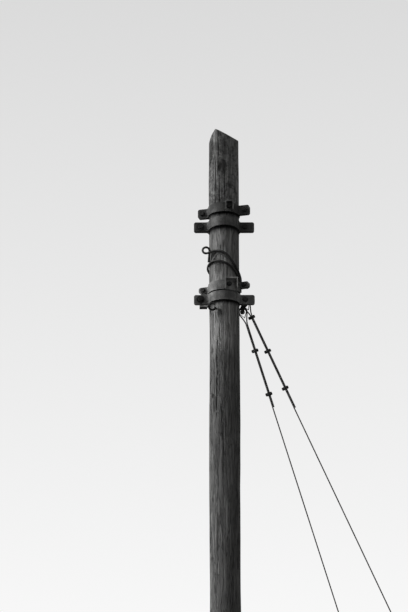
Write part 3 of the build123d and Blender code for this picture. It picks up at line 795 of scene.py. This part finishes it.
def shaft_piece():
    """A cylinder drawn up ring by ring along the taper, its top cut to two slopes."""
    levels = shaft_levels()
    clear_selection()
    bpy.ops.mesh.primitive_cylinder_add(vertices=SHAFT_SIDES, radius=BASE_RADIUS, depth=levels[0],
                                        end_fill_type="NGON", location=(0, 0, levels[0] / 2))
    shaft = bpy.context.object
    bpy.ops.object.transform_apply(location=True)
    bpy.ops.object.mode_set(mode="EDIT")
    bpy.ops.mesh.select_mode(type="FACE")
    bpy.ops.mesh.select_all(action="DESELECT")
    bpy.ops.object.mode_set(mode="OBJECT")
    for face in shaft.data.polygons:
        face.select = face.normal.z > 0.9
    bpy.ops.object.mode_set(mode="EDIT")
    below = levels[0]
    for z in levels[1:]:
        bpy.ops.mesh.extrude_region_move(TRANSFORM_OT_translate={"value": (0, 0, z - below)})
        ratio = pole_radius(z) / pole_radius(below)
        bpy.ops.transform.resize(value=(ratio, ratio, 1), center_override=(0, 0, z))
        below = z
    turn = math.radians(RIDGE_TURN)
    fall = Vector((math.cos(turn), -math.sin(turn), 0))
    crown = Vector((0, 0, POLE_HEIGHT)) + fall * RIDGE_SHIFT
    for side, slope in ((1, RIGHT_SLOPE), (-1, LEFT_SLOPE)):
        steep = math.radians(slope)
        normal = fall * (side * math.sin(steep)) + Vector((0, 0, math.cos(steep)))
        bpy.ops.mesh.select_all(action="SELECT")
        bpy.ops.mesh.bisect(plane_co=crown, plane_no=normal, use_fill=True, clear_outer=True)
    bpy.ops.object.mode_set(mode="OBJECT")
    return shaft, levels


def open_splits(shaft, levels):
    """Pulls wandering columns of points inwards, so that the wood splits along its grain."""
    columns = {}
    for vertex in shaft.data.vertices:
        if math.hypot(vertex.co.x, vertex.co.y) < SPLIT_SKIN * TOP_RADIUS:
            continue
        angle = math.degrees(math.atan2(vertex.co.y, vertex.co.x)) % 360.0
        column = round(angle / 360.0 * SHAFT_SIDES) % SHAFT_SIDES
        columns.setdefault(column, {})[round(vertex.co.z, 4)] = vertex
    splits = list(TOLD_SPLITS)
    for _ in range(LOOSE_SPLITS):
        low = random.uniform(0.0, POLE_HEIGHT - SPLIT_ROOM)
        splits.append((random.uniform(0, 360), low, low + random.uniform(*SPLIT_LENGTHS),
                       random.uniform(*SPLIT_DEPTHS)))
    moved = set()
    for angle, low, high, depth in splits:
        column = round(angle / 360.0 * SHAFT_SIDES)
        drift = 0
        for z in [level for level in levels if low < level < high]:
            if random.random() < DRIFT_CHANCE:
                drift += random.choice((-1, 1))
            vertex = columns[(column + drift) % SHAFT_SIDES].get(round(z, 4))
            if vertex is None or vertex.index in moved:
                continue
            moved.add(vertex.index)
            share = min(1.0, SPLIT_TAPER * min(z - low, high - z) / (high - low) + SPLIT_START)
            scale = 1.0 - depth * share / pole_radius(z)
            vertex.co.x *= scale
            vertex.co.y *= scale


def press_knots(shaft):
    """Sinks each knot's heart and raises a lip round it."""
    for angle, height, size in KNOTS:
        centre = Vector(knot_place(angle, height))
        for vertex in shaft.data.vertices:
            far_above_or_below = abs(vertex.co.z - height) > KNOT_SPAN * size
            if far_above_or_below or vertex.co.xy.length < KNOT_SKIN * TOP_RADIUS:
                continue
            away = vertex.co - centre
            far = math.hypot(away.x, away.y, KNOT_SQUASH * away.z) / size
            if far > KNOT_REACH:
                continue
            lip = KNOT_LIP * math.exp(-((far - KNOT_LIP_PLACE) / KNOT_LIP_WIDTH) ** 2)
            heart = KNOT_SINK * math.exp(-(far / KNOT_HEART_WIDTH) ** 2)
            scale = 1.0 + (lip - heart) / vertex.co.xy.length
            vertex.co.x *= scale
            vertex.co.y *= scale


def weather_shaft(shaft):
    """Slow swells along the log, shallower under the wrapped strand."""
    cloud = bpy.data.textures.new("slow_swell", "CLOUDS")
    cloud.noise_scale = SWELL_SIZE
    clear_selection()
    bpy.ops.object.empty_add()
    stretch = bpy.context.object
    stretch.scale = (1.0, 1.0, SWELL_STRETCH)
    free_wood = shaft.vertex_groups.new(name="free_wood")
    for vertex in shaft.data.vertices:
        free = min(1.0, max(0.0, (abs(vertex.co.z - HELD_HEIGHT) - HELD_HALF) / HELD_EASE))
        free_wood.add([vertex.index], SWELL_HELD + (1.0 - SWELL_HELD) * free, "REPLACE")
    swell = shaft.modifiers.new("swell", "DISPLACE")
    swell.texture = cloud
    swell.texture_coords = "OBJECT"
    swell.texture_coords_object = stretch
    swell.mid_level = SWELL_REST
    swell.strength = SWELL_DEPTH
    swell.vertex_group = free_wood.name
    bpy.context.view_layer.update()
    apply_modifiers(shaft)
    shaft.vertex_groups.clear()
    bpy.data.objects.remove(stretch)
    for vertex in shaft.data.vertices:
        vertex.co.z = max(vertex.co.z, 0.0)


# Strands and the routes that they take

def smooth_path(name, points):
    """A smooth open curve whose corners are the points, and its length."""
    data = bpy.data.curves.new(name, "CURVE")
    data.dimensions = "3D"
    data.resolution_u = PATH_STEPS
    spline = data.splines.new("NURBS")
    spline.points.add(len(points) - 1)
    for target, point in zip(spline.points, points):
        target.co = (*point, 1.0)
    spline.order_u = 3
    spline.use_endpoint_u = True
    path = bpy.data.objects.new(name, data)
    bpy.context.scene.collection.objects.link(path)
    bpy.context.view_layer.update()
    traced = bpy.data.meshes.new_from_object(path)
    stops = [vertex.co.copy() for vertex in traced.vertices]
    bpy.data.meshes.remove(traced)
    return path, sum((b - a).length for a, b in zip(stops, stops[1:]))


def lobed_ring(radius):
    """A ring of points that stands out once for each wire."""
    clear_selection()
    bpy.ops.mesh.primitive_circle_add(vertices=WIRES_ROUND * len(LOBE), radius=radius, fill_type="NOTHING")
    ring = bpy.context.object
    for share in sorted(set(LOBE[1:])):
        activate(ring)
        bpy.ops.object.mode_set(mode="EDIT")
        bpy.ops.mesh.select_mode(type="VERT")
        bpy.ops.mesh.select_all(action="DESELECT")
        bpy.ops.object.mode_set(mode="OBJECT")
        for index, vertex in enumerate(ring.data.vertices):
            vertex.select = LOBE[index % len(LOBE)] == share
        bpy.ops.object.mode_set(mode="EDIT")
        bpy.ops.transform.resize(value=(share, share, 1.0), center_override=(0, 0, 0))
        bpy.ops.object.mode_set(mode="OBJECT")
    return ring


def screw_up(outline, steps, laps, climb):
    """Screws an outline up Z, closes its two ends and turns all faces outward."""
    screw = outline.modifiers.new("screw", "SCREW")
    screw.axis = "Z"
    screw.angle = math.tau
    screw.steps = steps
    screw.render_steps = steps
    screw.iterations = laps
    screw.screw_offset = climb
    apply_modifiers(outline)
    bpy.ops.object.mode_set(mode="EDIT")
    bpy.ops.mesh.select_all(action="SELECT")
    bpy.ops.mesh.fill_holes(sides=0)
    bpy.ops.mesh.select_all(action="SELECT")
    bpy.ops.mesh.normals_make_consistent(inside=False)
    bpy.ops.object.mode_set(mode="OBJECT")


def twisted_strand(name, points, radius, lay, steps, material, node):
    """Wires laid round a core: a lobed ring screwed along a length, then bent to the path."""
    path, length = smooth_path(name + "_path", points)
    laps = max(1, round(length / lay))
    strand = lobed_ring(radius)
    screw_up(strand, steps, laps, length / laps)
    bend = strand.modifiers.new("bend", "CURVE")
    bend.object = path
    bend.deform_axis = "POS_Z"
    apply_modifiers(strand)
    bpy.ops.object.shade_smooth()
    bpy.data.objects.remove(path)
    finish_piece(strand, name, material, "strand_steel", node)


def loop_route(tail):
    """A loop in its own plane, from the tail's end round the eye to the long leg."""
    half = GUY_RADIUS + LEG_GAP / 2
    reach = math.hypot(EYE_DROP, half)
    start = math.atan2(half, EYE_DROP) + math.acos(EYE_RADIUS / reach)
    step = 2 * (math.pi - start) / EYE_CORNERS
    far = EYE_RADIUS / math.cos(step / 2)
    eye = [(far * math.cos(start + step * (i + 0.5)), -far * math.sin(start + step * (i + 0.5)))
           for i in range(EYE_CORNERS)]
    touch = 2 * far * math.sin(step / 2)
    sides = []
    for corner, leg in ((eye[0], -half), (eye[-1], half)):
        slant = Vector((EYE_DROP, leg)) - Vector(corner)
        sides.append(tuple(Vector(corner) + slant.normalized() * touch))
    spare = EYE_DROP * EYE_SPARE
    return [(tail, -half), (spare, -half), (EYE_DROP, -half), sides[0], *eye, sides[1],
            (EYE_DROP, half), (spare, half)]


def guy_frames(turn, hang):
    """Places of a guy's two eyes, and its directions: down it, square to it, and across."""
    angle = math.radians(turn)
    down = Vector((math.sin(angle) * GUY_LEAD, math.cos(angle) * GUY_LEAD, -1)).normalized()
    normal = (Vector((0, 1, 0)) - down * down.y).normalized()
    across = normal.cross(down)
    inner = EYE_RADIUS - GUY_RADIUS - SNUG - THIMBLE_WALL
    skew = math.acos(normal.y)
    rest = inner - BOLT_RADIUS / math.cos(skew) - THIMBLE_WIDTH / 2 * math.tan(skew) - SNUG
    top = Vector(hang) + down * rest
    link = math.sqrt(ROD_EYE_HOLE ** 2 - (THIMBLE_WIDTH / 2) ** 2)
    link += math.sqrt(inner ** 2 - (ROD_EYE_WIDTH / 2) ** 2) - SNUG
    half = GUY_RADIUS + LEG_GAP / 2
    shift = (across + normal) * half
    low = top + shift + down * ((top.z + shift.z - ROD_LENGTH * -down.z) / -down.z - link)
    return top, low, down, normal, across


def guy_route(turn, hang, tail):
    """A guy from its upper tail's end through both eyes to its lower tail's end."""
    top, low, down, normal, across = guy_frames(turn, hang)
    upper_side = normal.cross(down)
    lower_side = across.cross(-down)
    upper = [top + down * along + upper_side * aside for along, aside in loop_route(tail)]
    lower = [low - down * along + lower_side * aside for along, aside in loop_route(LOW_TAIL)]
    return upper + lower[::-1]


def wrap_route():
    """The wrapped strand from its tail through the eye and round the shaft to the bolt."""
    route = [Vector((x, y, POLE_HEIGHT - drop)) for x, y, drop in TAIL_STOPS]
    corner = RING_RADIUS / math.cos(math.radians(RING_STEP / 2))
    front, rear = RING_FRONT_TO_REAR
    for i, angle in enumerate(RING_CORNERS):
        around = math.radians(angle)
        route.append(Vector((RING_PLACE[0] + corner * math.cos(around),
                             front + (rear - front) * i / (len(RING_CORNERS) - 1),
                             POLE_HEIGHT - RING_PLACE[1] + corner * math.sin(around))))
    for i, (angle, drop) in enumerate(WRAP_STOPS):
        around = math.radians(angle)
        z = POLE_HEIGHT - drop
        span = WRAP_STOPS[min(i + 1, len(WRAP_STOPS) - 1)][0] - WRAP_STOPS[max(i - 1, 0)][0]
        radius = (pole_radius(z) + WRAP_RADIUS + WRAP_PLAY) / math.cos(math.radians(span / 4))
        route.append(Vector((radius * math.cos(around), radius * math.sin(around), z)))
    turn = math.radians(SMALL_TURN)
    rest_z = POLE_HEIGHT - SMALL_BOLT_DROP + BOLT_RADIUS + WRAP_RADIUS + SNUG
    for x in WRAP_REST:
        out = SMALL_BOLT_X + x
        route.append(Vector((out * math.cos(turn), out * math.sin(turn), rest_z)))
    return route


# Threads

def thread_ridge(radius, pitch, laps):
    """One screw thread that stands on a shank and climbs from the origin up Z."""
    clear_selection()
    bpy.ops.mesh.primitive_circle_add(vertices=3, radius=pitch * THREAD_FILL, fill_type="NOTHING",
                                      rotation=(math.pi / 2, math.pi / 2, 0),
                                      location=(radius, 0, pitch / 2))
    ridge = bpy.context.object
    bpy.ops.object.transform_apply(location=True, rotation=True)
    bpy.ops.object.mode_set(mode="EDIT")
    bpy.ops.mesh.select_all(action="SELECT")
    bpy.ops.transform.resize(value=(THREAD_HEIGHT, 1.0, 1.0), center_override=(radius, 0, 0))
    bpy.ops.object.mode_set(mode="OBJECT")
    screw_up(ridge, THREAD_STEPS, laps, pitch)
    return ridge


def lay_threads(name, ridge, ends, material):
    """Copies a thread to each end, and joins the copies into one piece."""
    copies = []
    for place, along in ends:
        copy = ridge.copy()
        copy.data = ridge.data.copy()
        bpy.context.scene.collection.objects.link(copy)
        turn = along.to_track_quat("Z", "Y").to_matrix().to_4x4()
        copy.matrix_world = Matrix.Translation(place) @ turn
        copies.append(copy)
    bpy.data.objects.remove(ridge)
    activate(copies[0])
    for copy in copies:
        copy.select_set(True)
    bpy.ops.object.join()
    finish_piece(copies[0], name, material, "dark_steel")


def bolt_ends():
    """Where each bolt's thread starts, and which way it runs."""
    for turn, x, drop, start in BOLT_ENDS:
        around = math.radians(turn)
        beside = Vector((math.cos(around), math.sin(around), 0))
        back = Vector((-math.sin(around), math.cos(around), 0))
        yield Vector((0, 0, POLE_HEIGHT - drop)) + beside * x + back * start, back


def clip_ends():
    """Where each thread of the guys' clips starts, and which way it runs."""
    for name, (turn, hang, _) in GUYS.items():
        top, low, down, normal, across = guy_frames(turn, hang)
        rows = ((top, down, normal, UPPER_CLIPS[name]), (low, -down, across, LOWER_CLIPS))
        for start, along, up, spots in rows:
            aside = up.cross(along) * CLIP_LEG
            for spot in spots:
                for side in (-1, 1):
                    yield start + along * spot + aside * side + up * CLIP_NUT_TOP, up


# The whole scene

def main():
    place_camera()
    light_the_yard()
    lay_floor()
    groups = {"grain": make_grain_group(), "weather": make_weather_group(), "edge_mask": make_edge_group(),
              "run": make_run_group(), "knot": make_knot_group()}
    wood = wood_material(groups)
    looks = {name: steel_material(name, groups, *finish) for name, finish in STEELS.items()}
    paint_groove_highlight(looks["sleeve_steel"])
    for name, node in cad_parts.items():
        if name == "pole_shaft":
            continue
        for place in node.material_slots:
            place.material = looks[look_of(name)]

    shaft, levels = shaft_piece()
    open_splits(shaft, levels)
    press_knots(shaft)
    weather_shaft(shaft)
    activate(shaft)
    bpy.ops.object.shade_smooth_by_angle(angle=math.radians(SMOOTH_BELOW))
    finish_piece(shaft, "split_shaft", wood, "weathered_wood", "pole_shaft")
    for name, (turn, hang, tail) in GUYS.items():
        twisted_strand(name + "_lay", guy_route(turn, hang, tail), GUY_RADIUS + GUY_SWELL, GUY_LAY,
                       GUY_STEPS, looks["strand_steel"], name + "_strand")
    twisted_strand("wrap_lay", wrap_route(), WRAP_RADIUS, WRAP_LAY, WRAP_STEPS,
                   looks["wrap_steel"], "wrap_strand")
    bolt_ridge = thread_ridge(BOLT_RADIUS, BOLT_PITCH, BOLT_LAPS)
    lay_threads("bolt_threads", bolt_ridge, bolt_ends(), looks["dark_steel"])
    clip_ridge = thread_ridge(CLIP_WIRE, CLIP_PITCH, CLIP_LAPS)
    lay_threads("clip_threads", clip_ridge, clip_ends(), looks["dark_steel"])


main()
clear_selection()
